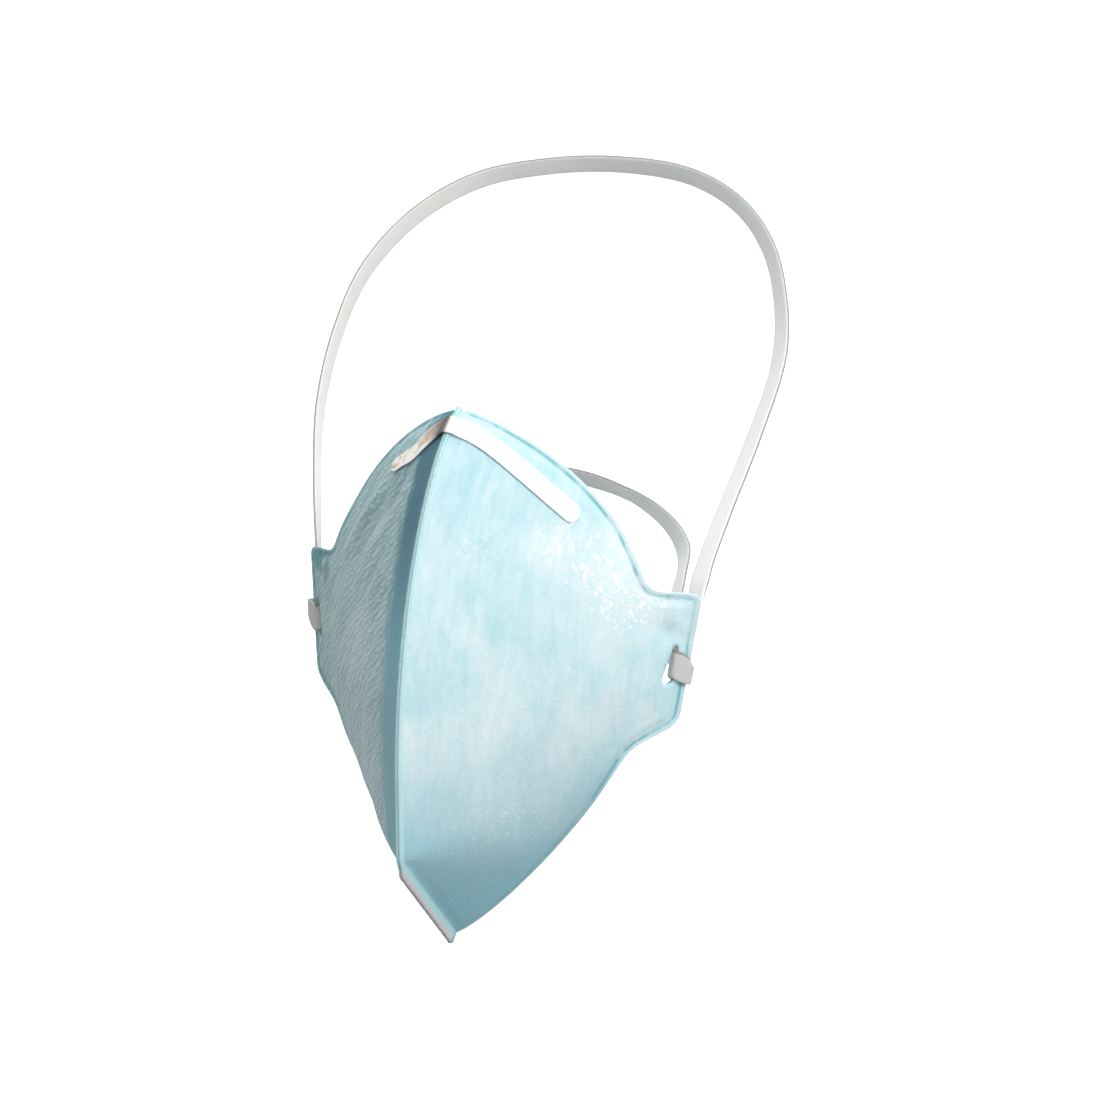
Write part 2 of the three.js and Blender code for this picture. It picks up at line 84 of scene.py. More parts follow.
def makeCamera():
    lens = bpy.data.cameras.new("photoCamera")
    lens.lens = cameraView["lens"]
    lens.clip_end = cameraView["clipEnd"] * mm
    camera = addObject("photoCamera", lens)
    azimuth, elevation = cameraView["azimuth"], cameraView["elevation"]
    away = cameraView["distance"] * direction(azimuth, elevation)
    camera.location = (Vector(cameraView["aim"]) + away) * mm
    camera.rotation_euler = (math.radians(90 - elevation), 0, math.radians(azimuth))
    bpy.context.scene.camera = camera


def makeLights():
    for row in lights:
        lamp = bpy.data.lights.new(row["name"], "AREA")
        lamp.shape = "DISK"
        lamp.size = row["size"] * mm
        lamp.energy = row["power"]
        lamp.color = linear(row["colour"])[:3]
        thing = addObject(row["name"], lamp)
        towards = direction(row["azimuth"], row["elevation"])
        thing.location = (Vector(cameraView["aim"]) + row["distance"] * towards) * mm
        thing.rotation_euler = towards.to_track_quat("Z", "Y").to_euler()
    world = bpy.data.worlds.new("studio")
    world.use_nodes = True
    background = world.node_tree.nodes["Background"]
    background.inputs["Color"].default_value = linear(worldLight["colour"])
    background.inputs["Strength"].default_value = worldLight["strength"]
    bpy.context.scene.world = world
    bpy.context.scene.view_settings.view_transform = "Standard"


# Adds one node, with its settings and the sockets that feed it. An input is named by its label or number.
def addNode(tree, kind, settings=None, links=None):
    node = tree.nodes.new(kind)
    for key, value in (settings or {}).items():
        if isinstance(key, str) and hasattr(node, key):
            setattr(node, key, value)
        else:
            node.inputs[key].default_value = value
    for key, source in (links or {}).items():
        tree.links.new(source, node.inputs[key])
    return node


def newMaterial(name):
    material = bpy.data.materials.new(name)
    material.use_nodes = True
    return material, material.node_tree, material.node_tree.nodes["Principled BSDF"]


# Makes a smooth shaded object of a finished bmesh
def addShape(name, shape, material):
    for face in shape.faces:
        face.smooth = True
    mesh = bpy.data.meshes.new(name)
    shape.to_mesh(mesh)
    shape.free()
    mesh.materials.append(material)
    return addObject(name, mesh)


# Gives a thin sheet its wall. The thickness group holds each vertex's share of the full thickness.
def addWall(sheet, thickness):
    sheet.vertex_groups.new(name="thickness")
    wall = sheet.modifiers.new("wall", "SOLIDIFY")
    wall.thickness = thickness * mm
    wall.offset = 0
    wall.vertex_group = "thickness"
    return sheet


# Matt acrylic of a light table, lit from below: an even white ground with no gloss and hardly a shadow
def makeGround():
    material, _, shader = newMaterial("lightTable")
    shader.inputs["Base Color"].default_value = linear(floorPlan["colour"])
    shader.inputs["Roughness"].default_value = 1.0
    shader.inputs["Specular IOR Level"].default_value = 0.0
    shader.inputs["Emission Color"].default_value = linear(floorPlan["colour"])
    shader.inputs["Emission Strength"].default_value = floorPlan["glow"]
    floor, backdrop = bmesh.new(), bmesh.new()
    bmesh.ops.create_grid(floor, x_segments=2, y_segments=2, size=floorPlan["size"] / 2 * mm)
    bmesh.ops.translate(floor, verts=floor.verts, vec=(0, 0, floorPlan["height"] * mm))
    bmesh.ops.create_uvsphere(backdrop, u_segments=48, v_segments=24, radius=floorPlan["backdrop"] * mm)
    # Both are seen and reflected, but they neither light the cloth by diffuse bounces nor shade it
    for name, shape in (("studioFloor", floor), ("studioBackdrop", backdrop)):
        thing = addShape(name, shape, material)
        thing.visible_diffuse = False
        thing.visible_shadow = False


makeCamera()
makeLights()
makeGround()
print("stage: camera, lights, floor and backdrop")

# Shell form, shared by the panels, the clip and the strap

shell = {
    "topHeight": 80,
    "chinDrop": 79.5,
    "ridgeReach": 71,
    "noseReach": 27.5,
    "chinReach": 35.5,
    "cheekReach": 9,
    "cheekHalfWidth": 56.5,
    "cornerDrop": 43.5,
    "ridgeFullDrop": 20,
    "topWidthPower": 0.71,
    "bottomWidthPower": 0.82,
    "bottomHeightPower": 1.3,
    "topReachPower": 3.5,
    "bottomReachPower": 1.2,
    "ridgePower": 0.67,
    "sectionBulge": 0.25,
    "wall": 1.9,
    "centreGap": 0.06,
    "pieceGap": 0.3,
}
tab = {
    "top": 27,
    "bottom": 20.5,
    "outer": 61.7,
    "topFall": 0.15,
    "bottomRise": 0.57,
    "sideFlare": 0.12,
    "slope": 0.75,
    "lean": 0.06,
    "fillet": 4,
    "round": 3.4,
    "rootSoftness": 3,
    "flangeFade": 0.02,
    "slotLength": 12,
    "slotWidth": 3.8,
    "slotTipWidth": 1.8,
    "slotHeight": 3.3,
    "slotInset": 6.4,
}
seam = {"leaf": 0.8, "ridgeStand": 0.7, "chinStand": 2.9, "chinRise": 3, "miter": 1.3}


def lerp(start, end, share):
    return start + (end - start) * share


def clamp(value, low=0.0, high=1.0):
    return max(low, min(high, value))


def smoothStep(value, low, high):
    share = clamp((value - low) / (high - low))
    return share * share * (3 - 2 * share)


def smoothMin(a, b, reach):
    mix = max(0.0, 1 - abs(a - b) / reach)
    return min(a, b) - reach * mix * mix / 4


def edgeHalfWidth(z):
    if z >= 0:
        rise = (z / shell["topHeight"]) ** 2
        return shell["cheekHalfWidth"] * max(0.0, 1 - rise) ** shell["topWidthPower"]
    drop = (-z / shell["chinDrop"]) ** shell["bottomHeightPower"]
    return shell["cheekHalfWidth"] * max(0.0, 1 - drop) ** shell["bottomWidthPower"]


def edgeReach(z):
    if z >= 0:
        rise = (z / shell["topHeight"]) ** shell["topReachPower"]
        return lerp(shell["cheekReach"], shell["noseReach"], rise)
    drop = (-z / shell["chinDrop"]) ** shell["bottomReachPower"]
    return lerp(shell["cheekReach"], shell["chinReach"], drop)


# Reach of the ridge at a height. The break at the chin corner is softened over the given distance.
def ridgeReachAt(z, softened=0.5):
    rise = clamp((z + shell["ridgeFullDrop"]) / (shell["topHeight"] + shell["ridgeFullDrop"]))
    upper = lerp(shell["noseReach"], shell["ridgeReach"], (1 - rise ** 2) ** shell["ridgePower"])
    below = -z - shell["cornerDrop"]
    if abs(below) < softened:
        below = (below + softened) ** 2 / (4 * softened)
    fall = clamp(below / (shell["chinDrop"] - shell["cornerDrop"]))
    return upper - fall * (shell["ridgeReach"] - shell["chinReach"])


# Depth of the cloth's middle at a point of one side, with x measured outwards from the middle plane
def depthAt(x, z):
    share = x / max(edgeHalfWidth(z), 1)
    section = share - shell["sectionBulge"] * share * (1 - share)
    cheek = lerp(-ridgeReachAt(z, 0.5 + 0.5 * x), -edgeReach(z), section)
    past = max(0.0, z - tab["top"], -tab["bottom"] - z)
    flat = -shell["cheekReach"] + tab["slope"] * (x - shell["cheekHalfWidth"]) + tab["lean"] * z
    return smoothMin(cheek, flat + tab["flangeFade"] * past ** 2, tab["rootSoftness"])


def clothNormal(x, z):
    reach = 0.2
    across = (depthAt(x + reach, z) - depthAt(x - reach, z)) / (2 * reach)
    up = (depthAt(x, z + reach) - depthAt(x, z - reach)) / (2 * reach)
    return Vector((across, -1, up)).normalized()


def ridgeNormal(z):
    reach = 0.5
    slope = (ridgeReachAt(z + reach) - ridgeReachAt(z - reach)) / (2 * reach)
    return Vector((0, -1, -slope)).normalized()


def seamStand(z):
    grown = smoothStep(-z, shell["cornerDrop"], shell["cornerDrop"] + seam["chinRise"])
    return seam["miter"] * shell["wall"] / 2 + lerp(seam["ridgeStand"], seam["chinStand"], grown)


def tabSide(z):
    return tab["outer"] + tab["sideFlare"] * z


# Frame of the strap tab: along runs outwards over the cloth, rise runs up beside the tab's outer edge,
# and ahead points out of the mask
tabAhead = Vector((tab["slope"], -1, tab["lean"])).normalized()
tabRise = Vector((tab["sideFlare"], tab["lean"] + tab["slope"] * tab["sideFlare"], 1)).normalized()
tabAlong = tabRise.cross(tabAhead)
slotEdgeX = tabSide(tab["slotHeight"])
slotEdgeY = tab["slope"] * (slotEdgeX - shell["cheekHalfWidth"]) - shell["cheekReach"]
slotEdgeY += tab["lean"] * tab["slotHeight"]
slotCentre = Vector((slotEdgeX, slotEdgeY, tab["slotHeight"])) - tab["slotInset"] * tabAlong


def tabPoint(along, ahead, rise):
    return slotCentre + along * tabAlong + ahead * tabAhead + rise * tabRise


# Panels

panelSettings = {
    "edgeRows": 96,
    "cornerRows": 12,
    "sideRows": 34,
    "columns": 78,
    "tipTrim": 0.4,
    "leafColumns": 4,
    "filletColumns": 6,
    "filletLeg": 1.2,
    "filletReach": 3,
    "fuzz": 0.22,
    "rimWidth": 1.2,
    "weldWidth": 0.9,
    "weldThickness": 0.5,
    "lipThickness": 0.9,
    "loftWidth": 3.2,
    "edgeRound": 0.3,
    "softWaves": 0.5,
    "softWaveLength": 26,
    "wrinkles": {-1: 0.4, 1: 0.12},
    "wrinkleLength": 34,
    "wrinkleSpacing": 7,
    "wrinkleSlant": 0.35,
    "grooveRidge": 0.8,
    "grooveChin": 3.5,
    "columnGrading": 1.25,
    "slotArcSteps": 12,
    "slotSideSteps": 24,
}
# Creases in the cloth, each from a start to an end place. A place is a share of the cheek half width, and a
# share of the top height above the origin or of the chin drop below it. Depth and width are in millimetres,
# and a crease of minus depth is raised.
creases = [
    {"side": -1, "start": (0.13, 0.84), "end": (0.33, 0.58), "depth": -0.8, "width": 1.3},
    {"side": -1, "start": (0.19, 0.84), "end": (0.4, 0.54), "depth": 1.2, "width": 1.8},
    {"side": -1, "start": (0.36, 0.77), "end": (0.76, 0.34), "depth": -0.9, "width": 1.5},
    {"side": -1, "start": (0.3, 0.76), "end": (0.68, 0.3), "depth": 1.5, "width": 2.6},
    {"side": -1, "start": (0.24, 0.62), "end": (0.5, 0.2), "depth": 0.8, "width": 2},
    {"side": -1, "start": (0.4, 0.42), "end": (0.78, -0.02), "depth": 0.9, "width": 2.6},
    {"side": -1, "start": (0.34, 0.1), "end": (0.5, -0.42), "depth": 0.65, "width": 2.4},
    {"side": 1, "start": (0.33, 0.27), "end": (0.31, -0.02), "depth": 0.3, "width": 1.8},
    {"side": 1, "start": (0.49, 0.26), "end": (0.46, -0.04), "depth": 0.3, "width": 1.8},
    {"side": 1, "start": (0.44, -0.22), "end": (0.43, -0.6), "depth": 0.32, "width": 1.8},
    {"side": 1, "start": (0.9, 0.24), "end": (1.12, 0.12), "depth": 0.6, "width": 2.6},
    {"side": 1, "start": (1, 0.22), "end": (1, 0.11), "depth": 0.9, "width": 1.4},
]


def cheekPlace(across, height):
    full = shell["topHeight"] if height > 0 else shell["chinDrop"]
    return Vector((across * shell["cheekHalfWidth"], height * full))


def creaseAt(side, x, z):
    pressed = 0.0
    here = Vector((x, z))
    for row in creases:
        if row["side"] != side:
            continue
        start, end = cheekPlace(*row["start"]), cheekPlace(*row["end"])
        run = end - start
        along = clamp((here - start).dot(run) / run.length_squared)
        distance = (here - start - along * run).length
        fade = math.sin(math.pi * clamp(along, 0.04, 0.96))
        pressed += row["depth"] * fade * math.exp(-((distance / row["width"]) ** 2))
    return pressed


def clothPoint(side, x, z):
    point = Vector((x, depthAt(x, z), z))
    soft = Vector((side * x, 40 * side, 0.6 * z)) / panelSettings["softWaveLength"]
    across, along = panelSettings["wrinkleSpacing"], panelSettings["wrinkleLength"]
    slant = panelSettings["wrinkleSlant"]
    wrinkle = Vector(((x + slant * z) / across, side, (z - slant * x) / along))
    wave = panelSettings["softWaves"] * noise.noise(soft)
    wave += panelSettings["wrinkles"][side] * noise.noise(wrinkle)
    # Both fade out towards the welded rim and the ridge, which hold the cloth tight
    loose = smoothStep(edgeHalfWidth(z) - x, 0, 12) * smoothStep(x, 4, 16)
    return point + clothNormal(x, z) * (wave * loose - creaseAt(side, x, z))


def quadraticCurve(start, middle, end, steps):
    points = []
    for i in range(steps + 1):
        t = i / steps
        points.append((1 - t) ** 2 * start + 2 * t * (1 - t) * middle + t ** 2 * end)
    return points


# Outline of one panel from the nose tip over the tab to the chin tip, as x and z
def panelOutline():
    def edge(start, end):
        points = []
        for i in range(panelSettings["edgeRows"] + 1):
            angle = lerp(math.asin(start), math.asin(end), i / panelSettings["edgeRows"])
            z = math.sin(angle) * (shell["topHeight"] if start + end > 0 else shell["chinDrop"])
            points.append(Vector((edgeHalfWidth(z), z)))
        return points

    def topLine(x):
        return Vector((x, tab["top"] - tab["topFall"] * (x - edgeHalfWidth(tab["top"]))))

    def bottomLine(x):
        return Vector((x, -tab["bottom"] + tab["bottomRise"] * (x - edgeHalfWidth(-tab["bottom"]))))

    trim, steps = panelSettings["tipTrim"], panelSettings["cornerRows"]
    fillet, rounding = tab["fillet"], tab["round"]
    topEdge = edge(1 - trim / shell["topHeight"], (tab["top"] + fillet) / shell["topHeight"])
    bottomEdge = edge(-(tab["bottom"] + fillet) / shell["chinDrop"], -1 + trim / shell["chinDrop"])
    topRoot, bottomRoot = edgeHalfWidth(tab["top"]), edgeHalfWidth(-tab["bottom"])
    topCorner = topLine(tabSide(tab["top"]))
    bottomCorner = bottomLine(tabSide(-tab["bottom"]) + 1)
    bottomCorner.x = tabSide(bottomCorner.y)
    sideHeights = (topCorner.y - rounding, bottomCorner.y + rounding)
    side = []
    for i in range(panelSettings["sideRows"] + 1):
        z = lerp(*sideHeights, i / panelSettings["sideRows"])
        side.append(Vector((tabSide(z), z)))
    points = topEdge
    points += quadraticCurve(topEdge[-1], topLine(topRoot), topLine(topRoot + fillet), steps)[1:]
    points += quadraticCurve(topLine(topCorner.x - rounding), topCorner, side[0], steps)
    points += side[1:]
    points += quadraticCurve(side[-1], bottomCorner, bottomLine(bottomCorner.x - rounding), steps)[1:]
    points += quadraticCurve(bottomLine(bottomRoot + fillet), bottomLine(bottomRoot), bottomEdge[0], steps)
    points += bottomEdge[1:]
    return points


outline = panelOutline()


# Thickness of the cloth by the distance to its cut edge: a rounded lip, a pressed weld line, then full loft
def clothThickness(distance):
    lip = panelSettings["lipThickness"] * math.sqrt(clamp(distance / panelSettings["edgeRound"], 0.04, 1))
    weldMiddle = panelSettings["rimWidth"] + panelSettings["weldWidth"] / 2
    inWeld = smoothStep(distance, weldMiddle - 0.8, weldMiddle - 0.2)
    pressed = lerp(lip, panelSettings["weldThickness"], inWeld)
    lofted = smoothStep(distance, weldMiddle + 0.2, weldMiddle + panelSettings["loftWidth"])
    return lerp(pressed, shell["wall"], lofted)


# Where highlights are painted on the cloth, as pale patches and white glints on the bonded clumps. A place
# is given as the creases' are, the radius in millimetres.
highlightSpots = [
    {"side": 1, "place": (0.53, 0.56), "radius": 5, "strength": 0.9},
    {"side": 1, "place": (0.68, 0.48), "radius": 7, "strength": 1},
    {"side": 1, "place": (0.78, 0.42), "radius": 6, "strength": 0.9},
    {"side": 1, "place": (0.86, 0.3), "radius": 8, "strength": 1},
    {"side": 1, "place": (0.2, 0.55), "radius": 10, "strength": 0.35},
    {"side": 1, "place": (0.5, 0), "radius": 22, "strength": 0.3},
    {"side": 1, "place": (0.4, -0.45), "radius": 14, "strength": 0.35},
    {"side": -1, "place": (0.45, 0.1), "radius": 16, "strength": 0.5},
    {"side": -1, "place": (0.35, -0.3), "radius": 14, "strength": 0.4},
]


# Strength of the painted highlight at a point of one side
def paintedHighlightAt(side, x, z):
    highlight = 0.0
    for spot in highlightSpots:
        if spot["side"] == side:
            away = (Vector((x, z)) - cheekPlace(*spot["place"])).length / spot["radius"]
            highlight += spot["strength"] * math.exp(-away ** 2)
    return min(highlight, 1)


def makePanel(name, side, material):
    rows = len(outline) - 1
    columns = panelSettings["columns"]
    lengths = [0.0]
    for before, after in zip(outline, outline[1:]):
        lengths.append(lengths[-1] + (after - before).length)
    ridgeHeights = [lerp(outline[0].y, outline[-1].y, length / lengths[-1]) for length in lengths]
    nearest = min(range(rows + 1), key=lambda i: abs(ridgeHeights[i] + shell["cornerDrop"]))
    ridgeHeights[nearest] = -shell["cornerDrop"]

    rim = kdtree.KDTree(4 * rows)
    for i in range(rows):
        for j in range(4):
            spot = outline[i].lerp(outline[i + 1], j / 4)
            rim.insert((spot.x, depthAt(spot.x, spot.y), spot.y), 4 * i + j)
    rim.balance()

    shape = bmesh.new()
    bmesh.ops.create_grid(shape, x_segments=rows, y_segments=columns, size=1)
    flat = shape.verts.layers.float_vector.new("flat")
    rimLayer = shape.verts.layers.float.new("rim")
    ridgeLayer = shape.verts.layers.float.new("ridge")
    thickness = shape.verts.layers.deform.verify()
    highlightLayer = shape.verts.layers.float.new("sparkle")
    leafColumns, filletColumns = panelSettings["leafColumns"], panelSettings["filletColumns"]
    rootColumns = leafColumns + filletColumns
    leafX = shell["centreGap"] / 2 + seam["leaf"] / 2
    for vert in shape.verts:
        i = round((vert.co.x + 1) / 2 * rows)
        j = round((vert.co.y + 1) / 2 * columns)
        end, ridgeZ = outline[i], ridgeHeights[i]
        start = min(panelSettings["filletReach"], 0.4 * end.x)
        standing = seamStand(ridgeZ)
        root = Vector((leafX, -ridgeReachAt(ridgeZ), ridgeZ))
        stem = root + panelSettings["filletLeg"] * ridgeNormal(ridgeZ)
        # The cloth is pressed thin beside the ridge, and further out beside the chin weld
        atChin = smoothStep(-ridgeZ, shell["cornerDrop"] - 3, shell["cornerDrop"] + seam["chinRise"])
        groove = lerp(panelSettings["grooveRidge"], panelSettings["grooveChin"], atChin)
        if j < leafColumns:
            fuzz = panelSettings["fuzz"] * noise.noise(Vector((side, 0, 1.1 * ridgeZ)))
            standing = lerp(standing + fuzz, panelSettings["filletLeg"], j / leafColumns)
            place = root + standing * ridgeNormal(ridgeZ)
            wall = seam["leaf"] * (0.5 if j == 0 else 1)
            x, z = -standing, ridgeZ
        elif j <= rootColumns:
            t = (j - leafColumns) / filletColumns
            foot = clothPoint(side, start, ridgeZ)
            place = (1 - t) ** 2 * stem + 2 * t * (1 - t) * root + t ** 2 * foot
            wall = lerp(seam["leaf"], shell["wall"], smoothStep(place.x, leafX, groove))
            x, z = max(place.x, 0.01) - (1 - t) * panelSettings["filletLeg"], ridgeZ
        else:
            share = (j - rootColumns) / (columns - rootColumns)
            share = 1 - (1 - share) ** panelSettings["columnGrading"]
            x, z = lerp(start, end.x, share), lerp(ridgeZ, end.y, share ** 2)
            place = clothPoint(side, x, z)
            wall = lerp(seam["leaf"], shell["wall"], smoothStep(x, leafX, groove))
        distance = rim.find((max(x, 0), depthAt(max(x, 0), z), z))[2]
        wall = min(wall, clothThickness(distance))
        vert.co = Vector((side * place.x, place.y, place.z)) * mm
        slant = math.hypot(1, (depthAt(x, z) - depthAt(0, z)) / max(x, 1)) if x > 0 else 1
        vert[flat] = Vector((side * x * slant, z, 0))
        vert[rimLayer] = distance
        vert[ridgeLayer] = x * slant
        vert[highlightLayer] = paintedHighlightAt(side, x, z)
        vert[thickness][0] = wall / shell["wall"]

    # The strap's slot: faces inside it go, and the edge left behind is drawn onto the slot's outline, with
    # a small half circle at its top, towards the tab's outer edge, and a wide one at its bottom
    wide, tip, half = tab["slotWidth"] / 2, tab["slotTipWidth"] / 2, tab["slotLength"] / 2
    arcSteps, sideSteps = panelSettings["slotArcSteps"], panelSettings["slotSideSteps"]
    arcs = []
    for centre, radius, first in (((wide - tip, half - tip), tip, 0), ((0, wide - half), wide, 180)):
        for i in range(arcSteps + 1):
            angle = math.radians(first + 180 / arcSteps * i)
            arcs.append(Vector((centre[0] + radius * math.cos(angle), centre[1] + radius * math.sin(angle))))
    slotOutline = [
        arcs[i].lerp(arcs[(i + 1) % len(arcs)], j / sideSteps)
        for i in range(len(arcs))
        for j in range(sideSteps if i % (arcSteps + 1) == arcSteps else 1)
    ]

    def onTab(co):
        offset = Vector((side * co.x, co.y, co.z)) / mm - slotCentre
        return Vector((offset.dot(tabAlong), offset.dot(tabRise)))

    def inSlot(spot):
        inside = False
        for i, after in enumerate(slotOutline):
            before = slotOutline[i - 1]
            if (before.y > spot.y) != (after.y > spot.y):
                crossing = before.x + (spot.y - before.y) / (after.y - before.y) * (after.x - before.x)
                inside = inside != (spot.x < crossing)
        return inside

    near = [face for face in shape.faces if onTab(face.calc_center_median()).length < half + 2]
    cut = [face for face in near if inSlot(onTab(face.calc_center_median()))]
    loop = {vert for face in cut for vert in face.verts}
    bmesh.ops.delete(shape, geom=cut, context="FACES")
    for vert in loop:
        if not vert.is_valid:
            continue
        spot = onTab(vert.co)
        target = min(slotOutline, key=lambda point: (point - spot).length_squared)
        move = (target - spot).x * tabAlong + (target - spot).y * tabRise
        vert.co += Vector((side * move.x, move.y, move.z)) * mm

    shape.normal_update()
    shape.faces.ensure_lookup_table()
    middle = shape.faces[len(shape.faces) // 2]
    outward = clothNormal(abs(middle.calc_center_median().x) / mm, middle.calc_center_median().z / mm)
    if Vector((side * outward.x, outward.y, outward.z)).dot(middle.normal) < 0:
        bmesh.ops.reverse_faces(shape, faces=shape.faces)
    return addWall(addShape(name, shape, material), shell["wall"])


# Thermally bonded polypropylene nonwoven, light blue: soft and fibrous, with faint bonded dashes that catch
# the light, painted pale highlight patches and white glints, and a glassy darker line where the rim is
# welded
nonwoven = {
    1: {
        "name": "nonwovenRight",
        "base": "#acdae5",
        "pale": "#e0eff4",
        "streakDark": "#a9d8e3",
        "streakPale": "#dbedf2",
        "paintedChinShading": "#84bac9",
        "upper": "#99c6d2",
        "smooth": "#cfeef2",
        "ridgeShadeTop": "#cfeef2",
        "band": 0.0,
        "embossShade": "#a5d3dd",
        "embossHighlight": "#e3f1f4",
        "hatch": 0.04,
        "hatchTurn": 124,
        "emboss": 0.025,
        "fibre": 0.09,
        "strokes": 0.0,
        "blotch": 0.0,
        "weld": "#6fb0ba",
        "lip": "#c9e0ea",
        "hem": "#aebcc6",
    },
    # Painted shade: the left panel is the same cloth as the right, given darker and greyer colours for the
    # shade it lies in
    -1: {
        "name": "nonwovenLeftShaded",
        "base": "#8bb8be",
        "pale": "#a8c6c8",
        "streakDark": "#80aeb5",
        "streakPale": "#bcd2d2",
        "paintedChinShading": "#a3c1c4",
        "upper": "#86b5bb",
        "smooth": "#72adba",
        "ridgeShadeTop": "#3f7585",
        "band": 1.0,
        "embossShade": "#7fa9ae",
        "embossHighlight": "#e2efee",
        "hatch": 0.42,
        "hatchTurn": 56,
        "emboss": 0.2,
        "fibre": 0.16,
        "strokes": 0.5,
        "blotch": 0.85,
        "weld": "#5f9da3",
        "lip": "#92b9bf",
        "hem": "#b3b0b6",
    },
}


# Noises of the web, each with its mapping onto the cloth laid flat and its own settings. A scale counts the
# repeats in a millimetre, across and up the cloth, but a TEXTURE mapping gives a length in millimetres.
webNoises = {
    "patches": ({"Scale": (0.055, 0.036, 1)}, {"Detail": 3, "Roughness": 0.55}),
    "clouds": ({"Scale": (0.16, 0.12, 1)}, {"Detail": 2, "Distortion": 0.6}),
    "streaks": ({"Scale": (0.42, 0.11, 1)}, {"Detail": 5, "Roughness": 0.65}),
    "strokes": (
        {"vector_type": "TEXTURE", "Scale": (20, 1.2, 1), "Rotation": (0, 0, math.radians(50))},
        {"Detail": 3, "Roughness": 0.6},
    ),
    "fibres": (
        {"Scale": (1.3, 0.9, 1), "Rotation": (0, 0, math.radians(20))},
        {"Detail": 4, "Roughness": 0.7},
    ),
    "gaps": ({"Scale": (0.3, 0.55, 1), "Rotation": (0, 0, math.radians(-20))}, {"Detail": 2}),
    "clumps": (
        {"Scale": (0.62, 0.5, 1), "Rotation": (0, 0, math.radians(30))},
        {"Detail": 2, "Roughness": 0.6, "Distortion": 0.8},
    ),
}


# Layers of the cloth's colour, the lowest first. Each lies over the others where its mask is full, times its
# amount. A mask is a product of smooth ramps, each of a source that rises from one value to another, or of a
# source as it is. A layer's colour may turn towards a second one by a mask of its own.
def webLayers(look):
    weldStart = panelSettings["rimWidth"]
    weldEnd = weldStart + panelSettings["weldWidth"]
    return [
        # Pale patches 18 mm wide and 28 mm long up the cloth
        {"colour": look["base"], "towards": look["pale"], "by": [("patches", 0.32, 0.72)]},
        {"mask": [("up", 30, 70)], "amount": 0.6, "colour": look["upper"]},
        # Smaller clouds of thicker and thinner web, 6 to 8 mm across
        {"mask": [("clouds", 0.36, 0.7)], "amount": 0.35, "colour": look["pale"]},
        # Brushed streaks, 2.4 mm wide and 9 mm long up the cloth
        {"amount": 0.35, "colour": look["streakDark"], "towards": look["streakPale"],
         "by": [("streaks", 0.3, 0.7)]},
        # The colour changes towards the chin
        # Painted shading towards the chin: darker and bluer on the right panel, where less light reaches the
        # lower cloth, paler on the left
        {"mask": [("up", -5, -62)], "colour": look["paintedChinShading"]},
        # Brushed strokes of loose fibre, 1.2 mm wide and 20 mm long, running down from the clip, painted in
        # dark shade and pale highlight where the light picks them out; on the left panel only
        {"amount": look["strokes"], "colour": "#6a9ea7", "towards": "#d6e8e8",
         "by": [("strokes", 0.36, 0.64)]},
        # Teal blotches on the top of the tab
        {"mask": [("ridge", 72, 78), ("up", 13, 19), ("clouds", 0.4, 0.6)], "amount": look["blotch"],
         "colour": "#4f9299"},
        # Rows of embossing, painted in shade and highlight as raking light shows them; strong on the left
        # panel only
        {"mask": ["hatched"], "amount": look["hatch"], "colour": look["embossShade"],
         "towards": look["embossHighlight"], "by": ["rows"]},
        # Painted shade: a dark smooth band beside the ridge, 9 to 15 mm wide, with a ragged edge, darkest
        # towards the top, where the cloth turns away from the light; on the left panel only
        {"mask": [("ragged", 21, 15)], "amount": look["band"], "colour": look["smooth"],
         "towards": look["ridgeShadeTop"], "by": [("up", 12, 58)]},
        # Painted highlights: pale patches where the light falls brightest, and white glints on bonded clumps
        # about 2 mm across
        {"mask": ["sparkle"], "amount": 0.5, "colour": "#e6f2f6"},
        {"mask": ["rubbedClumps", "glint"], "colour": "#ffffff"},
        # Seam leaf: a painted mint highlight beside the cloth, then a pinkish grey cut edge on the chin's
        # deeper weld only
        {"mask": [("ridge", 0.2, -0.6)], "amount": 0.6, "colour": "#bfe6e6"},
        {"mask": [("ridge", -2.5, -2.9)], "amount": 0.9, "colour": "#cfc6cb"},
        # Welded rim: the glassy line, uneven in strength, and a paler lip outside it
        {"mask": [("rim", weldStart - 0.2, weldStart + 0.2), ("rim", weldEnd + 0.4, weldEnd - 0.2),
                  "uneven"], "colour": look["weld"]},
        {"mask": [("rim", weldStart, weldStart - 0.4)], "amount": 0.85, "colour": look["lip"],
         "towards": look["hem"], "by": [("up", -24, -40)]},
    ]


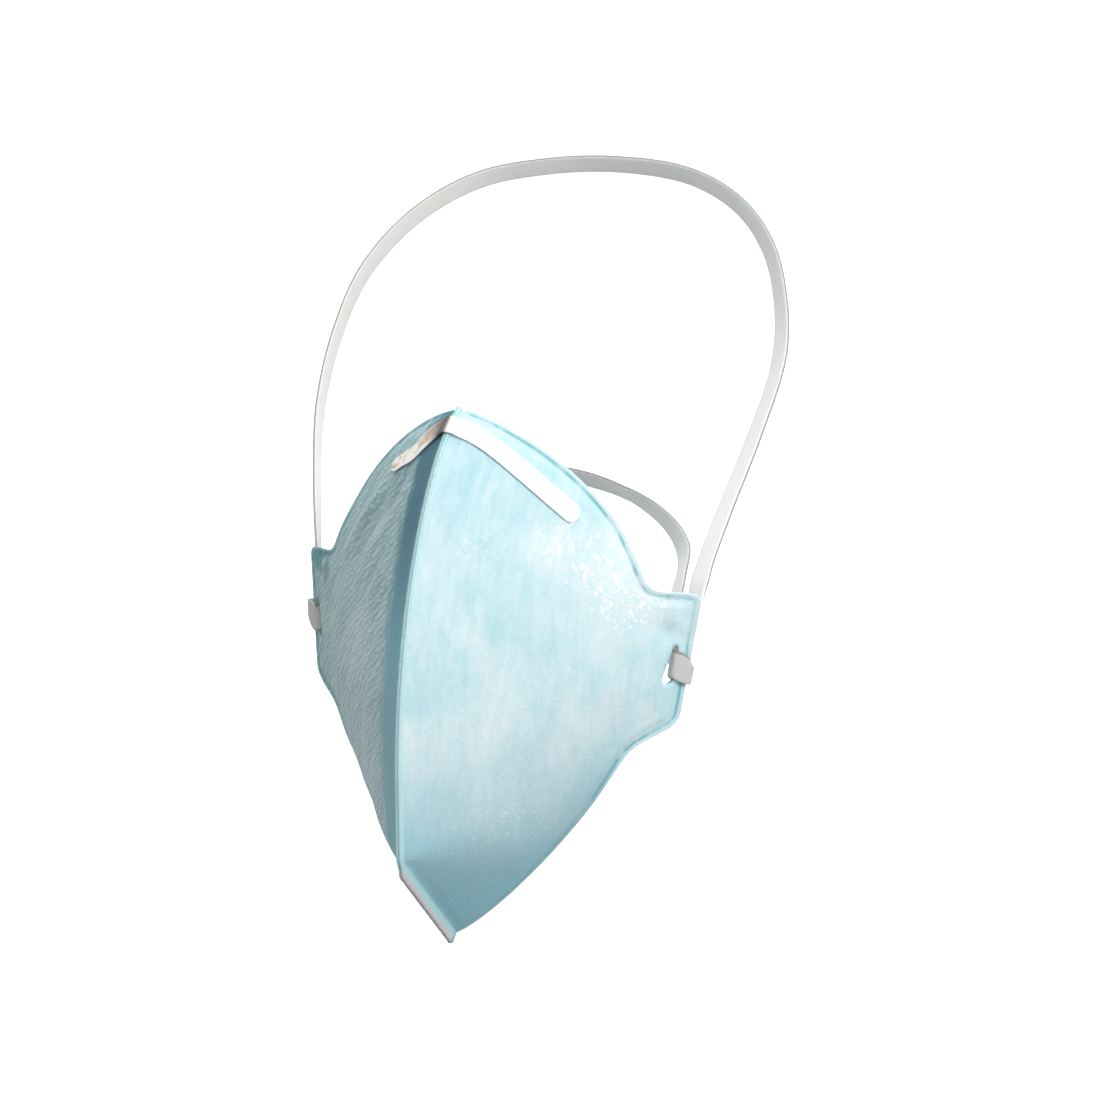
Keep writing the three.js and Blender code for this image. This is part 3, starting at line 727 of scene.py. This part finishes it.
def makeNonwoven(look):
    material, tree, shader = newMaterial(look["name"])
    place = addNode(tree, "ShaderNodeAttribute", {"attribute_name": "flat"}).outputs["Vector"]
    sources = {"up": addNode(tree, "ShaderNodeSeparateXYZ", None, {"Vector": place}).outputs["Y"]}
    for name in ("rim", "ridge", "sparkle"):
        sources[name] = addNode(tree, "ShaderNodeAttribute", {"attribute_name": name}).outputs["Fac"]
    for name, (mapping, settings) in webNoises.items():
        mapped = addNode(tree, "ShaderNodeMapping", mapping, {"Vector": place}).outputs["Vector"]
        web = addNode(tree, "ShaderNodeTexNoise", {"Scale": 1, **settings}, {"Vector": mapped})
        sources[name] = web.outputs["Fac"]
    # Slanting rows of embossing 1.8 mm apart: one wave is a length of 2 pi over 20 times the scale
    turned = addNode(
        tree, "ShaderNodeMapping", {"Rotation": (0, 0, math.radians(look["hatchTurn"]))}, {"Vector": place},
    )
    rows = addNode(
        tree, "ShaderNodeTexWave", {"Scale": 0.175, "Distortion": 5.5, "Detail": 3, "Detail Scale": 0.6},
        {"Vector": turned.outputs["Vector"]},
    )
    sources["rows"] = rows.outputs["Fac"]
    # Distance from the ridge with up to 12 mm of the streaks added, 6 mm on average
    ragged = {"operation": "MULTIPLY_ADD", 1: 12}
    links = {0: sources["streaks"], 2: sources["ridge"]}
    sources["ragged"] = addNode(tree, "ShaderNodeMath", ragged, links).outputs[0]
    # The painted white glints fall off faster than the pale painted highlight round them
    glint = {"operation": "POWER", 1: 1.5}
    sources["glint"] = addNode(tree, "ShaderNodeMath", glint, {0: sources["sparkle"]}).outputs[0]
    uneven = {"interpolation_type": "SMOOTHSTEP", 1: 0.62, 2: 0.4, 3: 0.3, 4: 0.85}
    sources["uneven"] = addNode(tree, "ShaderNodeMapRange", uneven, {0: sources["clouds"]}).outputs[0]

    # The mask as a socket, or None for a layer that lies everywhere
    def maskOf(parts, amount=1):
        mask, times = None, {"operation": "MULTIPLY"}
        for part in parts:
            if isinstance(part, str):
                value = sources[part]
            else:
                ramp = {"interpolation_type": "SMOOTHSTEP", 1: part[1], 2: part[2]}
                value = addNode(tree, "ShaderNodeMapRange", ramp, {0: sources[part[0]]}).outputs[0]
            if mask is not None:
                value = addNode(tree, "ShaderNodeMath", times, {0: mask, 1: value}).outputs[0]
            mask = value
        if mask is not None and amount != 1:
            mask = addNode(tree, "ShaderNodeMath", {**times, 1: amount}, {0: mask}).outputs[0]
        return mask

    # The embossing is broken here and there, and fades out towards the ridge and the rim
    sources["hatched"] = maskOf([("ragged", 15, 21), ("rim", 3, 9), ("gaps", 0.35, 0.62)])
    # The bonded clumps, raised by a bump and painted with white glints
    sources["rubbedClumps"] = maskOf([("clumps", 0.55, 0.62)])
    colour = None
    for layer in webLayers(look):
        amount = layer.get("amount", 1)
        settings, links = {"data_type": "RGBA", 0: amount, 7: linear(layer["colour"])}, {}
        if "towards" in layer:
            ends = {"data_type": "RGBA", 6: linear(layer["colour"]), 7: linear(layer["towards"])}
            links[7] = addNode(tree, "ShaderNodeMix", ends, {0: maskOf(layer["by"])}).outputs[2]
        if colour is None:
            colour = links[7]
            continue
        links[6] = colour
        mask = maskOf(layer.get("mask", []), amount)
        if mask is not None:
            links[0] = mask
        colour = addNode(tree, "ShaderNodeMix", settings, links).outputs[2]
    tree.links.new(colour, shader.inputs["Base Color"])

    # Heights in millimetres: the fibre clumps of about 1 mm, the bonded clumps that carry the painted glints
    # and the rows of embossing
    bumps = [(["fibres"], look["fibre"]), (["rubbedClumps"], 0.05), (["rows", "hatched"], look["emboss"])]
    links = {}
    for parts, height in bumps:
        links["Height"] = maskOf(parts)
        bump = addNode(tree, "ShaderNodeBump", {"Strength": 1.0, "Distance": height * mm}, links)
        links["Normal"] = bump.outputs["Normal"]
    tree.links.new(links["Normal"], shader.inputs["Normal"])
    shader.inputs["Roughness"].default_value = 0.82
    shader.inputs["Specular IOR Level"].default_value = 0.35
    shader.inputs["Sheen Weight"].default_value = 0.12
    shader.inputs["Sheen Roughness"].default_value = 0.5
    return material


for name, side in (("panel_right", 1), ("panel_left", -1)):
    panel = makePanel(name + "_cloth", side, makeNonwoven(nonwoven[side]))
    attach(panel, "root")
    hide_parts(name)
print("panels: both cloth walls made")

# Nose clip

clip = {
    "width": 6,
    "thickness": 0.8,
    "right": 47,
    "left": 30,
    "drop": 4.2,
    "settle": 4.8,
    "rightSettled": 30,
    "leftSettled": 14,
    "bendHalf": 2.6,
    "leftTip": 0.72,
    "stride": 0.4,
    "acrossSteps": 10,
    "edgeRound": 0.22,
}


def clipRoute():
    lift = shell["wall"] / 2 + shell["pieceGap"] + clip["thickness"] / 2

    def edgeHeight(out):
        narrowed = (out / shell["cheekHalfWidth"]) ** (1 / shell["topWidthPower"])
        return shell["topHeight"] * math.sqrt(1 - narrowed)

    def onShell(side, out):
        settled = clip["rightSettled"] if side > 0 else clip["leftSettled"]
        z = edgeHeight(out) - clip["drop"] - clip["settle"] * smoothStep(out, 0, settled)
        normal = clothNormal(out, z)
        point = clothPoint(side, out, z) + lift * normal
        return Vector((side * point.x, point.y, point.z)), Vector((side * normal.x, normal.y, normal.z))

    bendHeight = edgeHeight(0) - clip["drop"]
    ridgeOut = ridgeNormal(bendHeight)
    bendPoint = Vector((0, -ridgeReachAt(bendHeight), bendHeight))
    bendPoint += (seamStand(bendHeight) + shell["pieceGap"] + clip["thickness"] / 2) * ridgeOut
    seamHalf = shell["centreGap"] / 2 + seam["leaf"] + shell["pieceGap"]
    stations = [(bendPoint + Vector((x, 0, 0)), ridgeOut.copy()) for x in (-seamHalf, 0, seamHalf)]
    for side, length in ((-1, clip["left"]), (1, clip["right"])):
        gone, out, last = 0.0, clip["bendHalf"], bendPoint
        while True:
            point, normal = onShell(side, out)
            gone += (point - last).length
            if gone > length:
                break
            last = point
            stations = [(point, normal)] + stations if side < 0 else stations + [(point, normal)]
            out += clip["stride"]
    return stations


def makeNoseClip(material):
    stations = clipRoute()
    lengths = [0.0]
    for (before, _), (after, _) in zip(stations, stations[1:]):
        lengths.append(lengths[-1] + (after - before).length)
    count, across = len(stations) - 1, clip["acrossSteps"]
    half = clip["width"] / 2
    shape = bmesh.new()
    bmesh.ops.create_grid(shape, x_segments=count, y_segments=across, size=1)
    edge = shape.verts.layers.float.new("edge")
    thickness = shape.verts.layers.deform.verify()
    for vert in shape.verts:
        i = round((vert.co.x + 1) / 2 * count)
        share = math.sin(math.radians(90 * round(vert.co.y * across / 2) / (across / 2)))
        point, normal = stations[i]
        tangent = (stations[min(i + 1, count)][0] - stations[max(i - 1, 0)][0]).normalized()
        width = normal.cross(tangent).normalized()
        fromEnd = min(lengths[i], lengths[-1] - lengths[i])
        pinch = lerp(clip["leftTip"], 1, smoothStep(lengths[i], 0, clip["left"]))
        wide = half * pinch * math.sqrt(max(0.02, 1 - (1 - min(fromEnd / half, 1)) ** 2))
        vert.co = (point + share * wide * width) * mm
        fromEdge = min(wide * (1 - abs(share)), fromEnd)
        vert[edge] = fromEdge
        vert[thickness][0] = math.sqrt(clamp(fromEdge / clip["edgeRound"], 0.1, 1))
    shape.normal_update()
    middle = min(shape.faces, key=lambda face: abs(face.calc_center_median().x))
    if middle.normal.y > 0:
        bmesh.ops.reverse_faces(shape, faces=shape.faces)
    return addWall(addShape("nose_clip_strip", shape, material), clip["thickness"])


# Soft rolled aluminium strip, slightly brushed: near white on the right half, and on the left half, which
# lies in shade, painted beige and brown reflections
def makeAluminium():
    material, tree, shader = newMaterial("rolledAluminium")
    place = addNode(tree, "ShaderNodeTexCoord")
    apart = addNode(tree, "ShaderNodeSeparateXYZ", None, {"Vector": place.outputs["Object"]})
    # Painted reflections: from the bend on, the left half of the strip, which lies in shade, takes the
    # painted colours below in place of the plain white
    shadedHalf = addNode(tree, "ShaderNodeMapRange", {"interpolation_type": "SMOOTHSTEP", 1: 0.0012, 2: -0.001},
                      {0: apart.outputs["X"]})
    # Painted reflections in brown patches about 5 mm across, and painted dark shade where the strip is bent
    # sharply
    onPlace = {"Vector": place.outputs["Object"]}
    patches = addNode(tree, "ShaderNodeTexNoise", {"Scale": 190, "Detail": 3}, onPlace)
    reflectionMask = addNode(tree, "ShaderNodeMapRange", {1: 0.42, 2: 0.62}, {0: patches.outputs["Fac"]})
    reflectionTints = {"data_type": "RGBA", 6: linear("#fdf8ec"), 7: linear("#bfa684")}
    reflected = addNode(tree, "ShaderNodeMix", reflectionTints, {0: reflectionMask.outputs[0]})
    # Painted highlights along the edges
    edge = addNode(tree, "ShaderNodeAttribute", {"attribute_name": "edge"})
    edgeHighlight = addNode(tree, "ShaderNodeMapRange", {"interpolation_type": "SMOOTHSTEP", 1: 0.8, 2: 0.3},
                     {0: edge.outputs["Fac"]})
    withEdgeHighlight = addNode(tree, "ShaderNodeMix", {"data_type": "RGBA", 7: linear("#fffdf8")},
                   {0: edgeHighlight.outputs[0], 6: reflected.outputs[2]})
    # Painted shade in the sharp bend, fading out over about 5 mm along the left half
    bendShade = addNode(tree, "ShaderNodeMapRange", {"interpolation_type": "SMOOTHSTEP", 1: -0.008, 2: -0.0025},
                    {0: apart.outputs["X"]})
    bendShaded = addNode(tree, "ShaderNodeMix", {"data_type": "RGBA", 7: linear("#5d5149")},
                      {0: bendShade.outputs[0], 6: withEdgeHighlight.outputs[2]})
    colour = addNode(tree, "ShaderNodeMix", {"data_type": "RGBA", 6: linear("#fbfbfa")},
                     {0: shadedHalf.outputs[0], 7: bendShaded.outputs[2]})
    tree.links.new(colour.outputs[2], shader.inputs["Base Color"])
    # Rolling lines 0.2 mm apart along the strip
    lines = addNode(tree, "ShaderNodeMapping", {"Scale": (300, 300, 5000)}, onPlace)
    onLines = {"Vector": lines.outputs["Vector"]}
    grain = addNode(tree, "ShaderNodeTexNoise", {"Scale": 1, "Detail": 2}, onLines)
    relief = {"Strength": 0.3, "Distance": 0.02 * mm}
    bump = addNode(tree, "ShaderNodeBump", relief, {"Height": grain.outputs["Fac"]})
    tree.links.new(bump.outputs["Normal"], shader.inputs["Normal"])
    # A dull oxide film hides most of the metal's mirror
    shader.inputs["Metallic"].default_value = 0.25
    shader.inputs["Roughness"].default_value = 0.42
    return material


strip = makeNoseClip(makeAluminium())
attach(strip, "root")
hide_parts("nose_clip")
print("nose clip: strip made")

# Head strap

strap = {
    "width": 7.5,
    "thickness": 1,
    "lean": 1.4,
    "slotDrop": -0.2,
    "edgeDrop": {1: 2.1, -1: -2.7},
    "slotHalf": 4.3,
    "edgeHalf": 2.9,
    # Share of painted grey shade on the wraps round the right and left tabs
    "rubbed": {1: 0.5, -1: 0.6},
    "easeSteps": 14,
    "crownReach": 194,
    "crownTilt": 38,
    "neckReach": 103,
    "neckTilt": 14,
    "crownSteps": 260,
    "neckSteps": 170,
    "turnSteps": 8,
    "acrossSteps": 10,
    "edgeRound": 0.3,
}
# The two loops from the right tab round to the left one. Across is a share of the slot's distance from the
# middle plane, back a share of the loop's reach in its tilted plane, twist the roll in degrees.
crownLoop = [
    {"across": 0.97, "back": 0.15, "twist": 63},
    {"across": 0.96, "back": 0.27, "twist": 61},
    {"across": 0.97, "back": 0.43, "twist": 58},
    {"across": 0.95, "back": 0.6, "twist": 53},
    {"across": 0.84, "back": 0.72, "twist": 42},
    {"across": 0.64, "back": 0.84, "twist": 33},
    {"across": 0.36, "back": 0.93, "twist": 20},
    {"across": 0, "back": 0.985, "twist": 10},
    {"across": -0.44, "back": 1, "twist": 2},
    {"across": -0.88, "back": 0.985, "twist": 1},
    {"across": -1.3, "back": 0.94, "twist": 1},
    {"across": -1.59, "back": 0.85, "twist": 0},
    {"across": -1.75, "back": 0.72, "twist": 0},
    {"across": -1.75, "back": 0.58, "twist": 0},
    {"across": -1.64, "back": 0.41, "twist": 0},
    {"across": -1.44, "back": 0.25, "twist": 0},
    {"across": -1.24, "back": 0.11, "twist": 0},
]
neckLoop = [
    {"across": 0.845, "back": 0.19, "twist": -46},
    {"across": 0.735, "back": 0.41, "twist": -40},
    {"across": 0.625, "back": 0.61, "twist": -32},
    {"across": 0.4, "back": 0.78, "twist": -3},
    {"across": 0.06, "back": 0.92, "twist": 22},
    {"across": -0.3, "back": 0.99, "twist": 20},
    {"across": -0.7, "back": 0.98, "twist": 16},
    {"across": -1.08, "back": 0.86, "twist": 12},
    {"across": -1.27, "back": 0.66, "twist": 10},
    {"across": -1.31, "back": 0.45, "twist": 6},
    {"across": -1.2, "back": 0.25, "twist": 0},
]


# Point and tangent on a centripetal curve through the route's points, at a share of the row count
def curveAt(route, row):
    i = min(int(row), len(route) - 2)
    t = row - i
    second, third = route[i], route[i + 1]
    first = route[i - 1] if i > 0 else 2 * second - third
    fourth = route[i + 2] if i + 2 < len(route) else 2 * third - second
    steps = (second - first, third - second, fourth - third)
    before, here, after = (math.sqrt(step.length) for step in steps)
    middle = (third - second) / here
    leave = ((second - first) / before - (third - first) / (before + here) + middle) * here
    arrive = (middle - (fourth - second) / (here + after) + (fourth - third) / after) * here
    cubic = 2 * second - 2 * third + leave + arrive
    square = -3 * second + 3 * third - 2 * leave - arrive
    point = second + leave * t + square * t ** 2 + cubic * t ** 3
    tangent = leave + 2 * square * t + 3 * cubic * t ** 2
    return point, tangent.normalized()


def strapRoute():
    bendRadius = strap["thickness"] / 2 + shell["pieceGap"]
    inner, outer, face = tab["slotWidth"] / 2, tab["slotInset"], shell["wall"] / 2

    def turn(along, start, end):
        corners = []
        for i in range(strap["turnSteps"] + 1):
            angle = math.radians(lerp(start, end, i / strap["turnSteps"]))
            corners.append((along + bendRadius * math.cos(angle), face + bendRadius * math.sin(angle)))
        return corners

    wrap = [(inner - bendRadius + strap["lean"], -3.6 * face), (inner - bendRadius, -1.4 * face)]
    wrap += turn(inner, 180, 90)
    wrap += [(lerp(inner, outer, i / 8), face + bendRadius) for i in range(1, 8)]
    wrap += turn(outer, 90, 0)
    wrap += [(outer + bendRadius, -face), (outer + bendRadius, -3 * face)]

    # The band is spread in the slot, and gathered where it folds round the tab's edge
    def wrapped(side):
        stations = []
        for along, ahead in wrap:
            share = smoothStep(along, inner, outer)
            drop = lerp(strap["slotDrop"], strap["edgeDrop"][side], share)
            half = lerp(strap["slotHalf"], strap["edgeHalf"], share)
            pair = (tabPoint(along, ahead, -drop), half * tabRise)
            stations.append(tuple(Vector((side * row.x, row.y, row.z)) for row in pair))
        return stations

    right, left = wrapped(1), wrapped(-1)[::-1]

    def loop(rows, start, end, reach, tilt, steps):
        angle = math.radians(tilt)
        endHalf = start[1][1].length
        middle = (start[1][0] + end[0][0]) / 2
        points = [
            middle + Vector((
                row["across"] * slotCentre.x,
                row["back"] * reach * math.cos(angle),
                row["back"] * reach * math.sin(angle),
            ))
            for row in rows
        ]
        route = [start[0][0], start[1][0], *points, end[0][0], end[1][0]]
        turns = [0, 0] + [row["twist"] for row in rows] + [0, 0]
        stations = []
        for i in range(1, steps):
            row = lerp(1, len(route) - 2, i / steps)
            twist = math.radians(lerp(turns[math.floor(row)], turns[math.ceil(row)], row % 1))
            point, tangent = curveAt(route, row)
            settled = min(1, 3 * math.sin(math.pi * i / steps)) * angle
            width = Vector((0, -math.sin(settled), math.cos(settled)))
            width = (width - width.dot(tangent) * tangent).normalized()
            half = lerp(endHalf, strap["width"] / 2, min(1, min(i, steps - i) / strap["easeSteps"]))
            stations.append((point, Matrix.Rotation(twist, 3, tangent) @ width * half))
        return stations

    crownSizes = [strap[key] for key in ("crownReach", "crownTilt", "crownSteps")]
    neckSizes = [strap[key] for key in ("neckReach", "neckTilt", "neckSteps")]
    crown = loop(crownLoop, right[-2:], left[:2], *crownSizes)
    neck = loop(neckLoop[::-1], left[-2:], right[:2], *neckSizes)
    return right + crown + left + neck


def makeStrap(material):
    stations = strapRoute()
    count, across = len(stations), strap["acrossSteps"]
    lengths = [0.0]
    for i in range(count):
        lengths.append(lengths[-1] + (stations[(i + 1) % count][0] - stations[i][0]).length)
    shape = bmesh.new()
    bmesh.ops.create_grid(shape, x_segments=count, y_segments=across, size=1)
    flat = shape.verts.layers.float_vector.new("flat")
    rubbed = shape.verts.layers.float.new("rubbed")
    thickness = shape.verts.layers.deform.verify()
    crownCount = strap["crownSteps"] - 1
    wrapCount = (count - crownCount - strap["neckSteps"] + 1) // 2
    wraps = ((0, strap["rubbed"][1]), (wrapCount + crownCount, strap["rubbed"][-1]))
    for vert in shape.verts:
        i = round((vert.co.x + 1) / 2 * count)
        share = math.sin(math.radians(90 * round(vert.co.y * across / 2) / (across / 2)))
        for first, grey in wraps:
            if first <= i % count < first + wrapCount:
                vert[rubbed] = grey
        point, width = stations[i % count]
        tangent = (stations[(i + 1) % count][0] - stations[(i - 1) % count][0]).normalized()
        half = width.length
        width = (width - width.dot(tangent) * tangent).normalized()
        vert.co = (point + share * half * width) * mm
        vert[flat] = Vector((lengths[i], share * half, 0))
        vert[thickness][0] = math.sqrt(clamp(half * (1 - abs(share)) / strap["edgeRound"], 0.12, 1))
    bmesh.ops.remove_doubles(shape, verts=shape.verts, dist=0.00001)
    print("head strap: loop of", round(lengths[-1]), "mm")
    return addWall(addShape("head_strap_band", shape, material), strap["thickness"])


# Flat elastic band, off-white: smooth and matt, with faint lengthwise ribs, painted grey shade along its
# thin side edges and painted shade where it wraps round the tabs
def makeElastic():
    material, tree, shader = newMaterial("flatElastic")
    place = addNode(tree, "ShaderNodeAttribute", {"attribute_name": "flat"})
    apart = addNode(tree, "ShaderNodeSeparateXYZ", None, {"Vector": place.outputs["Vector"]})
    sideways = addNode(tree, "ShaderNodeMath", {"operation": "ABSOLUTE"}, {0: apart.outputs["Y"]})
    # Painted shade along the band's side edges, the outer quarter millimetre of each
    edgeShade = addNode(tree, "ShaderNodeMapRange", {"interpolation_type": "SMOOTHSTEP", 1: 3.5, 2: 3.72},
                      {0: sideways.outputs[0]})
    soft = addNode(tree, "ShaderNodeTexNoise", {"Scale": 1, "Detail": 2},
                   {"Vector": addNode(tree, "ShaderNodeMapping", {"Scale": (0.02, 0.1, 1)},
                                      {"Vector": place.outputs["Vector"]}).outputs["Vector"]})
    body = addNode(tree, "ShaderNodeMix", {"data_type": "RGBA", 6: linear("#e9e8e5"), 7: linear("#f4f3f1")},
                   {0: soft.outputs["Fac"]})
    # Painted shade where it wraps round the tabs
    rubbed = addNode(tree, "ShaderNodeAttribute", {"attribute_name": "rubbed"})
    wrapShaded = addNode(tree, "ShaderNodeMix", {"data_type": "RGBA", 7: linear("#8f9492")},
                   {0: rubbed.outputs["Fac"], 6: body.outputs[2]})
    colour = addNode(tree, "ShaderNodeMix", {"data_type": "RGBA", 7: linear("#8f8c88")},
                     {0: edgeShade.outputs[0], 6: wrapShaded.outputs[2]})
    tree.links.new(colour.outputs[2], shader.inputs["Base Color"])
    # Ribs 0.75 mm apart: one wave is a length of 2 pi over 20 times the scale
    ribs = addNode(tree, "ShaderNodeTexWave", {"bands_direction": "Y", "Scale": 0.42, "Distortion": 0.2},
                   {"Vector": place.outputs["Vector"]})
    relief = {"Strength": 0.5, "Distance": 0.05 * mm}
    bump = addNode(tree, "ShaderNodeBump", relief, {"Height": ribs.outputs["Fac"]})
    tree.links.new(bump.outputs["Normal"], shader.inputs["Normal"])
    shader.inputs["Roughness"].default_value = 0.6
    shader.inputs["Specular IOR Level"].default_value = 0.4
    # The thin band lets some light through
    shader.inputs["Subsurface Weight"].default_value = 0.45
    shader.inputs["Subsurface Radius"].default_value = (1.0, 1.0, 1.0)
    shader.inputs["Subsurface Scale"].default_value = 2 * mm
    return material


band = makeStrap(makeElastic())
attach(band, "root")
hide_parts("head_strap")
print("head strap: band made")
